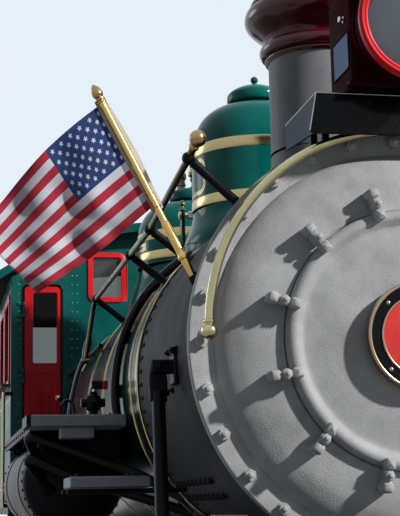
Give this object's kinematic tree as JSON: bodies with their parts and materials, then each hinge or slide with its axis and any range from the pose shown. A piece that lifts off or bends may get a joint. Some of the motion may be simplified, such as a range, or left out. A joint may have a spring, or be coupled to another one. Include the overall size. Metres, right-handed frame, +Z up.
{
  "type": "steam locomotive",
  "caption": "Narrow gauge steam locomotive with three driving axles, a leading truck, a tall boiler with domes, an open-backed cab and a hinged smokebox door.",
  "frame": {"origin": "on the floor below the middle of the whole engine, at the flanges' lowest points", "axes": "+X forward along the engine, +Y to its left side, +Z up"},
  "size_m": [7.37, 2.71, 3.571],
  "materials": {
    "black_iron": "satin black engine paint",
    "cast_iron": "cast iron",
    "steel": "bright machined steel",
    "dark_grey": "satin dark grey heat-proof paint",
    "graphite_grey": "satin silver-grey graphite paint",
    "boiler_green": "gloss very dark green enamel",
    "brass": "polished brass",
    "dome_green": "gloss blue-green enamel",
    "dark_red_paint": "gloss deep red enamel",
    "lens_glass": "pale lamp glass",
    "flag_cloth": "woven flag cloth",
    "tread_grey": "dull grey tread plate",
    "roof_black": "matt black roof paint",
    "glass": "clear glass",
    "seat_leather": "worn dark leather",
    "wheel_steel": "satin black with bright tyres",
    "red_paint": "gloss red enamel"
  },
  "bodies": {
    "chassis": {"frame": "black_iron", "pilot_beam": "black_iron", "pilot": "black_iron", "front_coupler": "cast_iron", "axle_boxes": "cast_iron", "driving_springs": "black_iron", "guides": "steel", "cylinder_left": "black_iron", "cylinder_right": "black_iron", "brake_gear": "black_iron", "smokebox": "dark_grey", "smokebox_front": "graphite_grey", "boiler": "boiler_green", "boiler_bands": "brass", "stack": "graphite_grey", "sand_dome": "dome_green", "steam_dome": "dome_green", "safety_valves": "brass", "bell_stand": "black_iron", "headlight_shelf": "black_iron", "headlight": "dark_red_paint", "headlight_lens": "lens_glass", "front_rail": "brass", "handrails": "brass", "flagstaffs": "brass", "flag_left": "flag_cloth", "flag_right": "flag_cloth", "running_boards": "black_iron", "front_steps": "tread_grey", "air_tanks": "black_iron", "air_pump": "black_iron", "smokebox_braces": "black_iron", "cab_front": "dome_green", "cab_side_left": "dome_green", "cab_side_right": "dome_green", "cab_roof": "roof_black", "cab_floor": "black_iron", "cab_panes": "glass", "backhead_fittings": "brass", "cab_seats": "seat_leather"},
    "driving_front": {"driving_axle_front": "wheel_steel"},
    "driving_main": {"driving_axle_main": "wheel_steel"},
    "driving_rear": {"driving_axle_rear": "wheel_steel"},
    "rods_left": {"side_rod_left": "steel"},
    "rods_right": {"side_rod_right": "steel"},
    "truck": {"truck_frame": "black_iron"},
    "truck_front": {"truck_axle_front": "wheel_steel"},
    "truck_rear": {"truck_axle_rear": "wheel_steel"},
    "crosshead_left": {"crosshead_left": "steel"},
    "crosshead_right": {"crosshead_right": "steel"},
    "main_rod_left": {"main_rod_left": "steel"},
    "main_rod_right": {"main_rod_right": "steel"},
    "smokebox_door": {"smokebox_door": "graphite_grey", "door_dogs": "graphite_grey", "number_plate": "brass"},
    "bell": {"bell": "brass"},
    "cab_door_left": {"cab_door_left": "red_paint", "cab_door_pane_left": "glass"},
    "cab_door_right": {"cab_door_right": "red_paint", "cab_door_pane_right": "glass"}
  },
  "joints": [
    {"name": "driving_main_roll", "type": "hinge", "parent": "chassis", "child": "driving_main", "pos_m": [-1.685, 0, 0.5965], "axis": [0, 1, 0], "continuous": true},
    {"name": "driving_front_roll", "type": "hinge", "parent": "chassis", "child": "driving_front", "pos_m": [-0.455, 0, 0.5965], "axis": [0, 1, 0], "continuous": true},
    {"name": "driving_rear_roll", "type": "hinge", "parent": "chassis", "child": "driving_rear", "pos_m": [-2.915, 0, 0.5965], "axis": [0, 1, 0], "continuous": true},
    {"name": "side_rod_left_pin", "type": "hinge", "parent": "driving_main", "child": "rods_left", "pos_m": [-1.48743, 0.642, 0.39893], "axis": [0, 1, 0], "continuous": true},
    {"name": "side_rod_right_pin", "type": "hinge", "parent": "driving_main", "child": "rods_right", "pos_m": [-1.88257, -0.642, 0.39893], "axis": [0, 1, 0], "continuous": true},
    {"name": "truck_swivel", "type": "hinge", "parent": "chassis", "child": "truck", "pos_m": [1.59, 0, 0.6], "axis": [0, 0, 1], "range_deg": [-4, 4]},
    {"name": "truck_front_roll", "type": "hinge", "parent": "truck", "child": "truck_front", "pos_m": [2.41, 0, 0.355], "axis": [0, 1, 0], "continuous": true},
    {"name": "truck_rear_roll", "type": "hinge", "parent": "truck", "child": "truck_rear", "pos_m": [0.77, 0, 0.355], "axis": [0, 1, 0], "continuous": true},
    {"name": "crosshead_left_slide", "type": "slide", "parent": "chassis", "child": "crosshead_left", "axis": [1, 0, 0], "range_m": [-0.4681, 0.0897]},
    {"name": "main_rod_left_wrist", "type": "hinge", "parent": "crosshead_left", "child": "main_rod_left", "pos_m": [0.84923, 0.76, 0.5965], "axis": [0, 1, 0], "range_deg": [-2, 11.6]},
    {"name": "crosshead_right_slide", "type": "slide", "parent": "chassis", "child": "crosshead_right", "axis": [1, 0, 0], "range_m": [-0.073, 0.4848]},
    {"name": "main_rod_right_wrist", "type": "hinge", "parent": "crosshead_right", "child": "main_rod_right", "pos_m": [0.4541, -0.76, 0.5965], "axis": [0, 1, 0], "range_deg": [-2, 11.6]},
    {"name": "smokebox_door_hinge", "type": "hinge", "parent": "chassis", "child": "smokebox_door", "pos_m": [2.595, 0.486, 2.025], "axis": [0, 0, 1], "range_deg": [0, 105]},
    {"name": "bell_swing", "type": "hinge", "parent": "chassis", "child": "bell", "pos_m": [-0.285, 0, 3.051], "axis": [0, 1, 0], "range_deg": [-50, 50]},
    {"name": "cab_door_left_hinge", "type": "hinge", "parent": "chassis", "child": "cab_door_left", "pos_m": [-1.963, 0.95, 2.3], "axis": [0, 0, 1], "range_deg": [0, 105]},
    {"name": "cab_door_right_hinge", "type": "hinge", "parent": "chassis", "child": "cab_door_right", "pos_m": [-1.963, -0.95, 2.3], "axis": [0, 0, -1], "range_deg": [0, 105]}
  ],
  "couplings": [
    {"joint": "driving_front_roll", "follows": "driving_main_roll", "ratio": 1},
    {"joint": "driving_rear_roll", "follows": "driving_main_roll", "ratio": 1},
    {"joint": "side_rod_left_pin", "follows": "driving_main_roll", "ratio": -1},
    {"joint": "side_rod_right_pin", "follows": "driving_main_roll", "ratio": -1}
  ]
}
